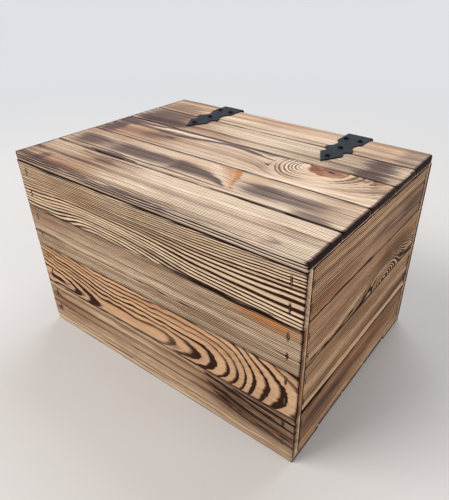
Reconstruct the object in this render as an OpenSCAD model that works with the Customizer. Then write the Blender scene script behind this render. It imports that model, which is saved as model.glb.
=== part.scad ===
// A kindling box: plank walls stapled to four corner posts, a slatted bottom,
// and a five-board lid that swings on two spear-ended strap hinges.
// The origin is the centre of the underside. +X runs right along the front,
// +Y points to the hinge side and +Z is up. Sizes are in millimetres.

/* [Walls] */
// Width of the box, and so the length of its front and back planks
box_w = 400; // [340:1:600]
// Depth of the box, over its front and back planks
box_d = 291; // [250:1:400]
// Height of the walls, above the bottom slats
wall_h = 234.5; // [200:0.5:320]
// Thickness of the wall planks
plank_t = 10; // [8:0.5:14]
// How much wider than an even share the front's lower three planks are; the top one fills the rest
front_trims = [0, 1.8, -3]; // [-5:0.1:5]
// The same for the back wall's lower three planks
back_trims = [-0.4, 2, -2.2]; // [-5:0.1:5]
// The same for each end wall's lower three planks
side_trims = [1, 2.9, -3.1]; // [-5:0.1:5]
// Bevel along the long edges of planks, boards, slats, posts and battens
bevel = 0.8; // [0.2:0.1:2]

/* [Corner posts] */
// Side of a post's square section
post_side = 20; // [16:1:30]
// How far a post stops below the top of the walls
post_drop = 2; // [0:0.5:10]

/* [Bottom] */
// Thickness of the bottom slats
slat_t = 7.8; // [6:0.1:12]
// Gap between neighbouring bottom slats
slat_gap = 4; // [2:0.5:10]
// How far the three inner slats stop short of the end walls' faces
slat_inset = 1; // [0:0.5:4]

/* [Lid] */
// Thickness of the lid boards
lid_t = 9.8; // [8:0.1:14]
// How much wider than an even share the lid's front four boards are; the back one fills the rest
lid_trims = [0.9, -1.6, 3.4, -2.1]; // [-5:0.1:5]
// Radius of the lid's corners, seen from above
lid_corner_r = 5; // [1:0.5:12]
// Radius along the lid's top front edge
lid_edge_r = 2.5; // [0.5:0.5:4]
// Width of a batten under the lid
batten_w = 40; // [30:1:45]
// Thickness of a batten
batten_t = 15; // [12:0.5:20]
// Space between a batten and the corner posts beside it
post_gap = 10; // [3:0.5:40]
// Space between a batten's end and the wall in front of it or behind it
batten_gap = 5; // [3:0.5:20]

/* [Staples] */
// Length of a staple's crown
crown_w = 9; // [6:0.5:12]
// Thickness of the staple wire
wire_t = 1.2; // [0.8:0.1:1.5]
// Length of a wall or bottom staple's legs
wall_leg = 25; // [16:1:28]
// Length of a lid staple's legs
lid_leg = 20; // [17:0.5:22]
// How far a crown stands proud of the wood
crown_proud = 0.2; // [0:0.1:0.5]
// Distance from a wall's end to its staples
staple_in = 14; // [12:0.5:18]
// Height of a plank's lower staple above the plank's lower edge
staple_low = 19; // [14:0.5:22]
// Depth of a plank's upper staple below the plank's upper edge
staple_high = 13; // [10:0.5:16]
// Distance of a bottom staple from the end wall's face
slat_staple_in = 6; // [5:0.5:7]
// Distance of a bottom staple from its slat's nearer edge
slat_staple_edge = 15.5; // [15:0.5:16.5]
// Distance of a lid staple from the middle of its batten
lid_staple_off = 11; // [6:0.5:13]

/* [Hinges] */
// Distance from the box's end to the middle of a hinge
hinge_in = 97; // [50:1:130]
// Thickness of the hinge's sheet steel
hinge_t = 1.5; // [1:0.1:2]
// Width of the hinge along its barrel
hinge_w = 33; // [28:0.5:40]
// Radius of the hinge pin
pin_r = 1.5; // [1:0.1:2.5]
// Radius of the pin's peened heads
pin_head_r = 2.6; // [2.6:0.1:4]
// Height of the pin's peened heads
pin_head_h = 1.2; // [0.6:0.1:2]
// Height of the leaf below the barrel's axis
leaf_h = 42; // [38:0.5:60]
// Clipped corner at the foot of the leaf
leaf_clip = 4; // [1:0.5:8]
// Length of the strap's straight root, from the lid's back edge
root_l = 26; // [22:0.5:28]
// Distance from the lid's back edge to the middle of the strap's waist
waist_l = 39; // [38:0.5:40]
// Width of the waist
waist_w = 22; // [18:0.5:26]
// Radius of the waist's curved sides
waist_r = 16; // [14:0.5:20]
// Width across the barbs
barb_w = 35; // [30:0.5:42]
// Distance from the lid's back edge to the barbs' rear corners
barb_l = 53; // [52:0.5:56]
// Length of the barbs' straight sides
barb_side = 6; // [3:0.5:8]
// Width of the neck behind the spearhead
neck_w = 22; // [16:0.5:26]
// Distance from the lid's back edge to the neck
neck_l = 63; // [61:0.5:64]
// Length of the neck
neck_side = 3; // [1:0.5:4]
// Width across the spearhead
spear_w = 30; // [26:0.5:36]
// Distance from the lid's back edge to the spearhead's corners
spear_l = 74; // [72:0.5:78]
// Distance from the lid's back edge to the spearhead's point
point_l = 100.5; // [94:0.5:110]

/* [Screws] */
// Radius of the domed screw heads
head_r = 3.8; // [3:0.1:4.5]
// Height of the domed screw heads
head_h = 2.2; // [1.5:0.1:3]
// Radius of the screw shanks
shank_r = 1.6; // [1.2:0.1:2]
// Length of the screw shanks, under the head
shank_l = 9.5; // [7:0.5:9.5]
// Half the distance between the two screws of a pair
pair_x = 9.5; // [8:0.5:10]
// Distance from the lid's back edge to the strap's pair of screws
pair_l = 17; // [12:0.5:20]
// Distance from the lid's back edge to the screw between the barbs
barb_screw_l = 51; // [46:0.5:52]
// Distance from the lid's back edge to the spearhead's screw
spear_screw_l = 84; // [78:0.5:86]
// Depth of the leaf's pair of screws below the walls' top
leaf_pair_z = 9; // [7:0.5:10]
// Depth of the leaf's lower screw below the walls' top
leaf_low_z = 23; // [18:0.5:24]

/* [Clearances] */
// Gap between the barrel and the lid's and the wall's back faces
barrel_gap = 0.3; // [0.2:0.05:0.6]
// Gap between neighbouring knuckles, and round them in the other leaf
knuckle_gap = 0.3; // [0.2:0.05:0.6]
// Radial play of the pin in the knuckles
pin_play = 0.05; // [0.02:0.01:0.1]
// Radial play of a screw in its hole in the sheet
screw_play = 0.3; // [0.1:0.05:0.5]
// Slit where a knuckle's curl comes back to the sheet
curl_slit = 0.4; // [0.2:0.05:0.8]

/* [Hidden] */

$fn = 64;
slats = 5;
// How far a cut runs past the face it goes through
cut = 1;
// How far a knuckle's sheet runs into the rest of its leaf
root_overlap = 2;

// Sum of the first n entries of a list
function sum_to(v, n) = n <= 0 ? 0 : v[n - 1] + sum_to(v, n - 1);
// Widths that fill a total: an even share each, plus the trims, and what is left for the last
function widths(total, trims) =
    let (share = total / (len(trims) + 1))
    concat([for (t = trims) share + t], [share - sum_to(trims, len(trims))]);

front_widths = widths(wall_h, front_trims);
back_widths = widths(wall_h, back_trims);
side_widths = widths(wall_h, side_trims);
rows = len(front_widths);
wall_top = slat_t + wall_h;
lid_top = wall_top + lid_t;
lid_d = box_d - barrel_gap;
lid_back = lid_d - box_d / 2;
lid_widths = widths(lid_d, lid_trims);
boards = len(lid_widths);
slat_w = (box_d - (slats - 1) * slat_gap) / slats;
batten_x = box_w / 2 - plank_t - post_side - post_gap - batten_w / 2;
hinge_x = box_w / 2 - hinge_in;

bore_r = pin_r + pin_play;
barrel_r = bore_r + hinge_t;
axis_y = box_d / 2 + barrel_gap + barrel_r;
axis_z = lid_top + hinge_t - barrel_r;
strap_root = axis_y - barrel_r - knuckle_gap;
leaf_top = axis_z - barrel_r - knuckle_gap;
knuckle_w = (hinge_w - 2 * knuckle_gap) / 3;
hole_r = shank_r + screw_play;

pale_wood = [0.84, 0.73, 0.58];
tan_wood = [0.78, 0.62, 0.45];
brown_wood = [0.60, 0.46, 0.34];
scorched_wood = [0.52, 0.43, 0.37];
raw_wood = [0.88, 0.80, 0.66];
black_steel = [0.16, 0.18, 0.20];
grey_steel = [0.55, 0.53, 0.50];
front_tints = [brown_wood, tan_wood, pale_wood, pale_wood];
side_tints = [brown_wood, tan_wood, pale_wood, tan_wood];
lid_tints = [tan_wood, scorched_wood, pale_wood, tan_wood, pale_wood];

// Section of a stick, a by b, with bevelled corners
module stick_section(a, b)
    polygon([[bevel, 0], [a - bevel, 0], [a, bevel], [a, b - bevel],
             [a - bevel, b], [bevel, b], [0, b - bevel], [0, bevel]]);

// Stick lying along X and centred on x = 0, dy deep and dz high
module stick_x(length, dy, dz)
    rotate([90, 0, 90])
        linear_extrude(length, center = true)
            stick_section(dy, dz);

// Stick lying along Y and centred on y = 0, dx wide and dz high
module stick_y(length, dx, dz)
    translate([dx, 0, 0])
        rotate([0, 0, 90])
            stick_x(length, dx, dz);

// What rounding takes off a corner at the origin of the first quadrant
module corner_waste(r)
    difference() {
        translate([-cut, -cut])
            square(r + cut);
        translate([r, r])
            circle(r);
    }

// Walls

module front_plank(i)
    color(front_tints[i - 1])
        translate([0, -box_d / 2, slat_t + sum_to(front_widths, i - 1)])
            stick_x(box_w, plank_t, front_widths[i - 1]);

module back_plank(i)
    color(front_tints[rows - i])
        translate([0, box_d / 2 - plank_t, slat_t + sum_to(back_widths, i - 1)])
            stick_x(box_w, plank_t, back_widths[i - 1]);

module side_plank(i, x)
    color(side_tints[i - 1])
        translate([x, 0, slat_t + sum_to(side_widths, i - 1)])
            stick_y(box_d - 2 * plank_t, plank_t, side_widths[i - 1]);

module left_plank(i)
    side_plank(i, -box_w / 2);

module right_plank(i)
    side_plank(i, box_w / 2 - plank_t);

// Post in the corner that the signs sx and sy give
module post(sx, sy)
    color(raw_wood)
        translate([sx * (box_w / 2 - plank_t - post_side / 2) - post_side / 2,
                   sy * (box_d / 2 - plank_t - post_side / 2) - post_side / 2, slat_t])
            linear_extrude(wall_h - post_drop)
                stick_section(post_side, post_side);

// Bottom

function slat_y(i) = (i - 1) * (slat_w + slat_gap) - box_d / 2;

module bottom_slat(i)
    color(tan_wood)
        translate([0, slat_y(i), 0])
            stick_x(box_w - (i == 1 || i == slats ? 0 : 2 * slat_inset), slat_w, slat_t);

// Staples

// Staple with its crown along Z, its outside at y = 0 and its legs along +Y
module staple(leg) {
    translate([-wire_t / 2, 0, -crown_w / 2])
        cube([wire_t, wire_t, crown_w]);
    for (s = [-1, 1])
        translate([-wire_t / 2, 0, s * (crown_w - wire_t) / 2 - wire_t / 2])
            cube([wire_t, leg, wire_t]);
}

// Staples of a wall whose face is at y = -face and whose ends are at x = -half
// and half, two in each plank's end, all lowered by drop
module wall_staples(widths, half, face, drop)
    color(grey_steel)
        for (s = [-1, 1], i = [0 : rows - 1], z = [staple_low, widths[i] - staple_high])
            translate([s * (half - staple_in), -face - crown_proud,
                       slat_t + sum_to(widths, i) + z - drop])
                staple(wall_leg);

module front_staples()
    wall_staples(front_widths, box_w / 2, box_d / 2, 0);

module back_staples()
    rotate([0, 0, 180])
        wall_staples(back_widths, box_w / 2, box_d / 2, 0);

// The end walls' staples sit half a crown lower, so the legs miss each other
// inside the posts
module right_staples()
    rotate([0, 0, 90])
        wall_staples(side_widths, box_d / 2, box_w / 2, crown_w / 2);

module left_staples()
    rotate([0, 0, -90])
        wall_staples(side_widths, box_d / 2, box_w / 2, crown_w / 2);

module bottom_staples()
    color(grey_steel)
        for (sx = [-1, 1], i = [1 : slats], y = [slat_staple_edge, slat_w - slat_staple_edge])
            translate([sx * (box_w / 2 - slat_staple_in), slat_y(i) + y, 0])
                rotate([90, 0, 0])
                    staple(wall_leg);

// Lid

module lid_board(i)
    color(lid_tints[i - 1])
        difference() {
            translate([0, sum_to(lid_widths, i - 1) - box_d / 2, wall_top])
                stick_x(box_w, lid_widths[i - 1], lid_t);
            if (i == 1) {
                lid_corner_wastes(-box_d / 2, 1);
                translate([0, -box_d / 2, lid_top])
                    mirror([0, 0, 1])
                        rotate([90, 0, 90])
                            linear_extrude(box_w + 2 * cut, center = true)
                                corner_waste(lid_edge_r);
            }
            if (i == boards)
                lid_corner_wastes(lid_back, -1);
        }

// What rounding takes off the two lid corners at y, towards sy
module lid_corner_wastes(y, sy)
    for (sx = [-1, 1])
        translate([sx * box_w / 2, y, wall_top - cut])
            scale([-sx, sy, 1])
                linear_extrude(lid_t + 2 * cut)
                    corner_waste(lid_corner_r);

module lid_batten(sx)
    color(raw_wood)
        translate([sx * batten_x - batten_w / 2, 0, wall_top - batten_t])
            stick_y(box_d - 2 * (plank_t + batten_gap), batten_w, batten_t);

module lid_staples()
    color(grey_steel)
        for (sx = [-1, 1], i = [1 : boards], off = [-1, 1])
            translate([sx * batten_x + off * lid_staple_off,
                       sum_to(lid_widths, i - 1) + lid_widths[i - 1] / 2 - box_d / 2,
                       wall_top - batten_t - crown_proud])
                rotate([90, 0, 0])
                    staple(lid_leg);

// Hinges

// Cylinder along X, centred on x = 0
module bar_x(r, length)
    rotate([0, 90, 0])
        cylinder(r = r, h = length, center = true);

// Places a knuckle: -1, 0 or 1 along the barrel
module at_knuckle(k)
    translate([k * (knuckle_w + knuckle_gap), 0, 0])
        children();

// Knuckle whose sheet runs off along -Y from the top of the barrel, reach long
// from the barrel's axis; the curl ends in a slit under the sheet
module knuckle(reach)
    difference() {
        union() {
            bar_x(barrel_r, knuckle_w);
            translate([-knuckle_w / 2, -reach, barrel_r - hinge_t])
                cube([knuckle_w, reach, hinge_t]);
        }
        bar_x(bore_r, knuckle_w + 2 * cut);
        translate([-knuckle_w / 2 - cut, -barrel_r - cut, bore_r - curl_slit])
            cube([knuckle_w + 2 * cut, barrel_r + cut - bore_r / 2, curl_slit]);
    }

// The strap seen from above, from its root at y = 0 to its point at y = -point_l
module strap_outline()
    difference() {
        polygon([
            for (s = [1, -1])
                let (side = [
                    [hinge_w / 2, 0],
                    [hinge_w / 2, -root_l],
                    [barb_w / 2, -barb_l],
                    [barb_w / 2, -barb_l - barb_side],
                    [neck_w / 2, -neck_l],
                    [neck_w / 2, -neck_l - neck_side],
                    [spear_w / 2, -spear_l],
                    [0, -point_l]
                ], last = len(side) - 1)
                for (k = [0 : s == 1 ? last : last - 1])
                    s == 1 ? side[k] : [-side[last - 1 - k][0], side[last - 1 - k][1]]
        ]);
        for (s = [-1, 1])
            translate([s * (waist_w / 2 + waist_r), -waist_l])
                circle(waist_r);
    }

strap_screws = [[-pair_x, -pair_l], [pair_x, -pair_l], [0, -barb_screw_l], [0, -spear_screw_l]];
leaf_screws = [[-pair_x, wall_top - leaf_pair_z], [pair_x, wall_top - leaf_pair_z],
               [0, wall_top - leaf_low_z]];

module hinge_strap(sx)
    color(black_steel)
        translate([sx * hinge_x, 0, 0]) {
            difference() {
                translate([0, strap_root, lid_top])
                    linear_extrude(hinge_t)
                        strap_outline();
                for (p = strap_screws)
                    translate([p[0], strap_root + p[1], lid_top - cut])
                        cylinder(r = hole_r, h = hinge_t + 2 * cut);
            }
            translate([0, axis_y, axis_z])
                for (k = [-1, 1])
                    at_knuckle(k)
                        knuckle(axis_y - strap_root + root_overlap);
        }

module hinge_leaf(sx)
    color(black_steel)
        translate([sx * hinge_x, 0, 0]) {
            difference() {
                translate([0, box_d / 2 + hinge_t, 0])
                    rotate([90, 0, 0])
                        linear_extrude(hinge_t)
                            leaf_outline();
                for (p = leaf_screws)
                    translate([p[0], box_d / 2 - cut, p[1]])
                        rotate([-90, 0, 0])
                            cylinder(r = hole_r, h = hinge_t + 2 * cut);
            }
            translate([0, axis_y, axis_z])
                rotate([90, 0, 0])
                    knuckle(axis_z - leaf_top + root_overlap);
        }

// The leaf seen from the back, in X and Z
module leaf_outline() {
    foot = axis_z - leaf_h;
    polygon([[-hinge_w / 2, leaf_top], [-hinge_w / 2, foot + leaf_clip],
             [-hinge_w / 2 + leaf_clip, foot], [hinge_w / 2 - leaf_clip, foot],
             [hinge_w / 2, foot + leaf_clip], [hinge_w / 2, leaf_top]]);
}

// Dome of radius r and height h, standing on z = 0
module dome(r, h) {
    ball_r = (r * r + h * h) / (2 * h);
    rotate_extrude()
        intersection() {
            translate([0, h - ball_r])
                circle(ball_r);
            square([r, h]);
        }
}

module hinge_pin(sx)
    color(black_steel)
        translate([sx * hinge_x, axis_y, axis_z]) {
            bar_x(pin_r, hinge_w + 2 * knuckle_gap);
            for (s = [-1, 1])
                translate([s * (hinge_w / 2 + knuckle_gap), 0, 0])
                    rotate([0, s * 90, 0])
                        dome(pin_head_r, pin_head_h);
        }

// Screw with its head on z = 0 and its shank along -Z
module screw() {
    dome(head_r, head_h);
    translate([0, 0, -shank_l])
        cylinder(r = shank_r, h = shank_l);
}

module strap_screws(sx)
    color(black_steel)
        for (p = strap_screws)
            translate([sx * hinge_x + p[0], strap_root + p[1], lid_top + hinge_t])
                screw();

module leaf_screws(sx)
    color(black_steel)
        for (p = leaf_screws)
            translate([sx * hinge_x + p[0], box_d / 2 + hinge_t, p[1]])
                rotate([-90, 0, 0])
                    screw();

for (i = [1 : rows]) {
    front_plank(i);
    back_plank(i);
    left_plank(i);
    right_plank(i);
}
post(-1, -1);  // post_front_left
post(1, -1);  // post_front_right
post(-1, 1);  // post_back_left
post(1, 1);  // post_back_right
for (i = [1 : slats])
    bottom_slat(i);
front_staples();
back_staples();
left_staples();
right_staples();
bottom_staples();
hinge_leaf(-1);  // hinge_leaf_left
hinge_leaf(1);  // hinge_leaf_right
hinge_pin(-1);  // hinge_pin_left
hinge_pin(1);  // hinge_pin_right
leaf_screws(-1);  // leaf_screws_left
leaf_screws(1);  // leaf_screws_right
for (i = [1 : boards])
    lid_board(i);
lid_batten(-1);  // lid_batten_left
lid_batten(1);  // lid_batten_right
lid_staples();
hinge_strap(-1);  // hinge_strap_left
hinge_strap(1);  // hinge_strap_right
strap_screws(-1);  // strap_screws_left
strap_screws(1);  // strap_screws_right
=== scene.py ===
import math
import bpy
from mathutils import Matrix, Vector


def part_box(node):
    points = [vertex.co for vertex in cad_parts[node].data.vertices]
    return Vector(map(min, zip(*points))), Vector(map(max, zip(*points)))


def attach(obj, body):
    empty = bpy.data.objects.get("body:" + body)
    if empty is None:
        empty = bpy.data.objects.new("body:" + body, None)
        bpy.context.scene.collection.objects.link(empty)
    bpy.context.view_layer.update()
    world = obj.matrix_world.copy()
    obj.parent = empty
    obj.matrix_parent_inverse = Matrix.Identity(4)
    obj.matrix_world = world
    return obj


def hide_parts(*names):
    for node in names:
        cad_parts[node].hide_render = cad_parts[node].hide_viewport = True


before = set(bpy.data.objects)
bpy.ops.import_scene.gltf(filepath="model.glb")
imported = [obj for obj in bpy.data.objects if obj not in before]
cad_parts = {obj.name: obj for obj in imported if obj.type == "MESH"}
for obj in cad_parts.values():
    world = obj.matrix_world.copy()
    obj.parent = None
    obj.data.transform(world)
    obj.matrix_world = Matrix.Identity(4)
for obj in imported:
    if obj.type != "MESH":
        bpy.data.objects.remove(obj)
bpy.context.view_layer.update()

from types import SimpleNamespace

import bmesh
import bpy
import numpy as np
from mathutils import Matrix, Vector

xWay, yWay, zWay = np.eye(3)
scene = bpy.context.scene
mm = 0.001
print("frame loaded:", len(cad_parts), "nodes")

# node helpers


class Graph:
    # nodes of one material or of the world: each call adds a node and returns its output

    def __init__(self, owner):
        self.owner = owner
        owner.use_nodes = True
        self.nodes = owner.node_tree.nodes
        self.links = owner.node_tree.links

    def put(self, socket, value):
        if hasattr(value, "is_output"):
            self.links.new(value, socket)
        else:
            socket.default_value = value

    def node(self, kind, *values, **settings):
        # new node with these settings, whose first inputs take the values
        node = self.nodes.new("ShaderNode" + kind)
        for key, value in settings.items():
            setattr(node, key, value)
        for socket, value in zip(node.inputs, values):
            self.put(socket, value)
        return node

    def read(self, name, output="Fac"):
        return self.node("Attribute", attribute_name=name).outputs[output]

    def point(self):
        return self.node("TexCoord").outputs["Object"]

    def math(self, operation, *values, clamp=False):
        return self.node("Math", *values, operation=operation, use_clamp=clamp).outputs[0]

    def scaled(self, vector, scale):
        return self.node("VectorMath", vector, scale, operation="MULTIPLY").outputs[0]

    def joined(self, x, y, z):
        return self.node("CombineXYZ", x, y, z).outputs[0]

    def parts(self, vector):
        return self.node("SeparateXYZ", vector).outputs

    def noise(self, vector, scale=1.0, detail=2.0, rough=0.5):
        node = self.node("TexNoise", vector)
        for key, value in (("Scale", scale), ("Detail", detail), ("Roughness", rough)):
            node.inputs[key].default_value = value
        return node.outputs[0]

    def chance(self, value):
        node = self.node("TexWhiteNoise", noise_dimensions="1D")
        self.put(node.inputs["W"], value)
        return node.outputs[0]

    def ease(self, value, low, high, toLow=0.0, toHigh=1.0):
        values = (value, low, high, toLow, toHigh)
        return self.node("MapRange", *values, interpolation_type="SMOOTHSTEP").outputs[0]

    def mix(self, share, a, b):
        node = self.node("Mix", share, data_type="RGBA")
        self.put(node.inputs[6], a)
        self.put(node.inputs[7], b)
        return node.outputs[2]

    def bump(self, height, distance, strength):
        node = self.node("Bump")
        for key, value in (("Height", height), ("Distance", distance), ("Strength", strength)):
            self.put(node.inputs[key], value)
        return node.outputs[0]

    def viewRays(self):
        # 1 for rays from the camera and in reflections, 0 for the light that falls on things
        path = self.node("LightPath").outputs
        share = path["Is Camera Ray"]
        for ray in ("Is Glossy Ray", "Is Transmission Ray"):
            share = self.math("ADD", share, path[ray], clamp=True)
        return share

    def finish(self, inputs):
        # wires or sets the surface's named inputs
        for key, value in inputs.items():
            self.put(self.nodes["Principled BSDF"].inputs[key], value)
        return self.owner


def paint(r, g, b):
    # written colour (0 to 255) to linear light, by the sRGB curve
    c = np.array([r, g, b]) / 255
    c = np.where(c <= 0.04045, c / 12.92, ((c + 0.055) / 1.055) ** 2.4)
    return (*c.tolist(), 1.0)


# camera and light

camera = dict(
    place=(0.34559, -0.41918, 0.45610),
    azimuth=35.45,      # degrees left of straight ahead along +Y
    down=32.715,
    roll=0.6975,
    lens=34.5745,
    sensor=36,
    shift=(-0.0634, 0.0118),
    clip=(0.01, 50),
)


def placeCamera(spec):
    # the view axis comes from azimuth and downward angle, then both side axes turn by the roll
    a, e, r = (math.radians(spec[k]) for k in ("azimuth", "down", "roll"))
    back = Vector((math.sin(a) * math.cos(e), -math.cos(a) * math.cos(e), math.sin(e)))
    right = Vector((math.cos(a), math.sin(a), 0))
    up = back.cross(right)
    right, up = math.cos(r) * right + math.sin(r) * up, math.cos(r) * up - math.sin(r) * right
    data = bpy.data.cameras.new("camera")
    data.lens = spec["lens"]
    data.sensor_width = spec["sensor"]
    data.shift_x, data.shift_y = spec["shift"]
    data.clip_start, data.clip_end = spec["clip"]
    obj = bpy.data.objects.new("camera", data)
    obj.matrix_world = Matrix((right, up, back)).transposed().to_4x4()
    obj.location = spec["place"]
    scene.collection.objects.link(obj)
    scene.camera = obj


placeCamera(camera)
scene.view_settings.view_transform = "Standard"

lights = dict(   # place, the height over the origin that it looks at, size, power, colour
    window=((-1.3, -1.55, 2.1), 0.12, (1.9, 1.5), 72, (1, 0.985, 0.96)),
    top=((-0.3, 1.6, 2.4), 0.2, (2.4, 1.6), 48, (0.88, 0.94, 1)),
    side=((2.4, 0.2, 1.3), 0.1, (1.6, 1.6), 22, (1, 0.9, 0.8)),
)

for name, (place, aim, size, power, colour) in lights.items():
    data = bpy.data.lights.new(name, "AREA")
    data.shape = "RECTANGLE"
    data.size, data.size_y = size
    data.energy = power
    data.color = colour
    lamp = bpy.data.objects.new(name, data)
    lamp.location = place
    way = Vector((0, 0, aim)) - Vector(place)
    lamp.rotation_euler = way.to_track_quat("-Z", "Y").to_euler()
    scene.collection.objects.link(lamp)

room = dict(sky=(0.93, 0.95, 1, 1), strength=0.38, wall=paint(222, 225, 229))


def makeRoom(spec):
    # the camera and reflections see an even pale wall, while light comes from the dimmer sky
    g = Graph(bpy.data.worlds.new("room"))
    scene.world = g.owner
    sky = g.nodes["Background"]
    sky.inputs["Color"].default_value = spec["sky"]
    sky.inputs["Strength"].default_value = spec["strength"]
    wall = g.node("Background", spec["wall"])
    both = g.node("MixShader", g.viewRays(), sky.outputs[0], wall.outputs[0])
    g.links.new(both.outputs[0], g.nodes["World Output"].inputs["Surface"])


makeRoom(room)
print("camera and lights placed")

# wood finish

woodColours = dict(
    pale=paint(236, 206, 171),
    # cream: the lid's early wood, paler and greyer than the walls'; partly the boards' own colour, partly
    # painted light on the top
    cream=paint(238, 214, 188),
    brown=paint(150, 104, 70),
    orange=paint(212, 149, 96),
    grey=paint(190, 170, 150),
    red=paint(120, 74, 60),
    rose=paint(172, 130, 104),
    line=paint(50, 27, 16),
    char=paint(34, 19, 14),
    ash=paint(96, 79, 79),
)
woodNoise = dict(   # scale along the grain and across it, detail, roughness
    streak=((34, 1500, 1500), 3, 0.6),
    fibre=((9, 330, 330), 2, 0.5),
    cloud=((7, 26, 26), 3, 0.5),
)
woodSwing = dict(   # how far each noise moves the ground colour and the burn
    ground=dict(cloud=0.7, years=1.7, fibre=0.7),
    burn=dict(fibre=0.5, streak=0.4, cloud=0.5),
)


def makeWood(name, lineDepth, dark=1.0, pale="pale", ashAt=0.8, charAt=(0.5, 0.95)):
    # growth rings: the ring attribute's fraction runs from pale early wood to a dark late line,
    # which starts softly and ends sharply; fibre noise is stretched along the grain attribute's x
    g = Graph(bpy.data.materials.new(name))
    c = woodColours
    grain = g.read("grain", "Vector")
    tone, warm, contrast = g.parts(g.read("look", "Vector"))
    noises = {key: g.noise(g.scaled(grain, scale), 1.0, detail, rough)
              for key, (scale, detail, rough) in woodNoise.items()}

    def byYear(scale, row, detail):
        return g.noise(g.scaled(g.joined(ragged, row, 0.0), (scale, 1, 1)), detail=detail)

    def swung(value, kind):
        # value plus each noise about its middle, times its amount
        for key, amount in woodSwing[kind].items():
            value = g.math("ADD", value, g.math("MULTIPLY_ADD", noises[key], amount, -amount / 2))
        return value

    ragged = g.math("MULTIPLY_ADD", noises["streak"], 0.18, g.read("ring"))
    ragged = g.math("MULTIPLY_ADD", noises["fibre"], 0.3, ragged)
    ring = g.math("FLOOR", ragged)
    share = g.math("SUBTRACT", ragged, ring)
    start = g.math("MULTIPLY_ADD", g.chance(ring), 0.18, 0.6)
    start = g.math("MULTIPLY_ADD", contrast, -0.2, start)
    late = g.ease(share, start, g.math("ADD", start, 0.28))
    late = g.math("MULTIPLY", late, g.ease(share, 0.93, 1.0, 1.0, 0.0))
    luck = g.chance(g.math("ADD", ring, 0.37))
    strength = g.math("MULTIPLY", g.math("MULTIPLY_ADD", luck, 0.6, 0.55), contrast)
    line = g.math("MULTIPLY", late, strength, clamp=True)
    smoke = g.ease(byYear(0.43, 7.3, 1), 0.52, 0.72)
    smoke = g.math("MULTIPLY", smoke, g.math("MULTIPLY", contrast, 0.3))
    line = g.math("ADD", line, smoke, clamp=True)
    # ground colour between pale and brown, by years and by fibres, pulled to orange or grey
    noises["years"] = byYear(0.31, 0.0, 2)
    ground = swung(tone, "ground")
    colour = g.mix(ground, c[pale], c["brown"])
    colour = g.mix(g.math("MULTIPLY", warm, 1.0, clamp=True), colour, c["orange"])
    colour = g.mix(g.math("MULTIPLY", warm, -1.0, clamp=True), colour, c["grey"])
    knot = g.mix(ground, c["rose"], c["red"])
    colour = g.mix(g.math("SUBTRACT", warm, 1.0, clamp=True), colour, knot)
    # burn, patchy along the fibres: ash brown first, under the lines, then char over everything. The burn
    # attribute also carries painted shade under the lid's edges and in the staples' slots
    patchy = swung(g.read("burn"), "burn")
    colour = g.mix(g.ease(patchy, 0.1, ashAt, 0.0, 0.92), colour, c["ash"])
    colour = g.mix(g.math("MULTIPLY", line, dark, clamp=True), colour, c["line"])
    streaks = g.ease(noises["streak"], 0.34, 0.62)
    colour = g.mix(g.math("MULTIPLY_ADD", streaks, -0.3 * dark, 0.3 * dark), colour, c["line"])
    colour = g.mix(g.ease(patchy, *charAt), colour, c["char"])
    height = g.math("MULTIPLY_ADD", streaks, 0.35, line)
    return g.finish({"Base Color": colour, "Roughness": g.math("MULTIPLY_ADD", line, -0.14, 0.7),
                     "Normal": g.bump(height, lineDepth, 0.9), "Specular IOR Level": 0.05})


wallWood = makeWood("wallWood", 0.00022)
# the lid's wood is paler than the walls': partly the boards' own colour, partly painted light on the top
lidWood = makeWood("lidWood", 0.00018, 0.8, "cream", 0.75, (0.85, 1.2))
rawWood = makeWood("rawWood", 0.00008, 0.45)

# wood shapes, in millimetres: u along a stick, v across its outer face, d inwards


def lattice(seed, x, y):
    # value noise from -1 to 1: seeded random numbers on a lattice, eased between its points
    table = np.random.default_rng(seed).uniform(-1, 1, (64, 64))
    x, y = np.asarray(x, float) + 1000, np.asarray(y, float) + 1000
    i, j = np.floor(x).astype(int), np.floor(y).astype(int)
    p, q = x - i, y - j
    p, q = p * p * (3 - 2 * p), q * q * (3 - 2 * q)
    a, b = table[i % 64, j % 64], table[(i + 1) % 64, j % 64]
    c, d = table[i % 64, (j + 1) % 64], table[(i + 1) % 64, (j + 1) % 64]
    return (a * (1 - p) + b * p) * (1 - q) + (c * (1 - p) + d * p) * q


def bell(x, wide, power=2):
    # 1 at x = 0, falling off on both sides, flatter and steeper with a higher power
    return np.exp(-np.abs(x / wide) ** power)


def eased(u, knots, column=1):
    # smooth curve through one column of the knots: straight pieces blurred by a bell 12 mm wide
    knots = np.asarray(knots, float)
    fine = np.arange(-60, 480.0)
    straight = np.interp(fine, knots[:, 0], knots[:, column])
    blur = bell(np.arange(-30, 31), 12.0)
    smooth = np.convolve(np.pad(straight, 30, mode="edge"), blur / blur.sum(), mode="valid")
    return np.interp(u, fine, smooth)


def patch(u, v, spot):
    # soft-edged patch. Five numbers: a flattened bell at (cu, cv) with half sizes ru and rv.
    # A path and an amount: a ribbon along u through places (u, v, half width), fading at both ends
    if len(spot) == 5:
        cu, cv, ru, rv = spot[:4]
        return bell(u - cu, ru, 4) * bell(v - cv, rv, 4)
    path = spot[0]
    ends = np.clip((u - path[0][0]) / 9 + 0.5, 0, 1) * np.clip((path[-1][0] - u) / 9 + 0.5, 0, 1)
    return bell(v - eased(u, path, 1), eased(u, path, 2), 3) * ends


def growth(s, table):
    # ring count along s: the running sum of one over the spacing, which is given at places of s
    fine = np.arange(-140, 260, 0.5)
    table = np.asarray(table, float)
    count = np.cumsum(0.5 / np.interp(fine, table[:, 0], table[:, 1]))
    return np.interp(s, fine, count)


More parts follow.
